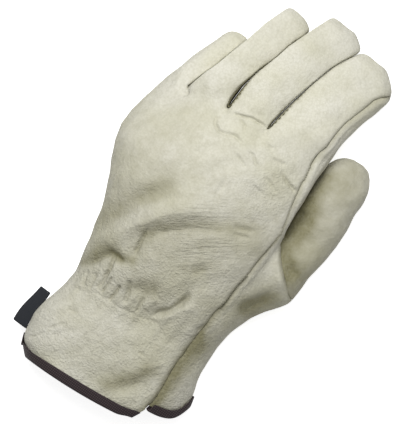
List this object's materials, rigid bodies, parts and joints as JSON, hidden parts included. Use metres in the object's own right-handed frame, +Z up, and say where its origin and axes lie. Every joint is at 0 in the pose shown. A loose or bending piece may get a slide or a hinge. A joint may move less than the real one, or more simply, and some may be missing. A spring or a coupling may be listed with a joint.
{
  "type": "driver glove",
  "caption": "Left leather driver glove with gathered wrist, bound hem and plain side label, resting palm down.",
  "frame": {"origin": "centre of the bounding box, on the surface the glove rests on", "axes": "+Y to the fingertips, +X to the thumb, +Z up out of the back of the hand"},
  "size_m": [0.1354, 0.2508, 0.0476],
  "materials": {
    "leather": "matte grain",
    "binding": "matte woven tape",
    "label": "matte woven ribbon"
  },
  "bodies": {
    "root": {"back_panel": "leather", "palm_panel": "leather", "thumb": "leather", "fourchette_ring_little": "leather", "fourchette_middle_ring": "leather", "fourchette_index_middle": "leather", "back_hem_binding": "binding", "palm_hem_binding": "binding", "side_label": "label"}
  },
  "joints": []
}
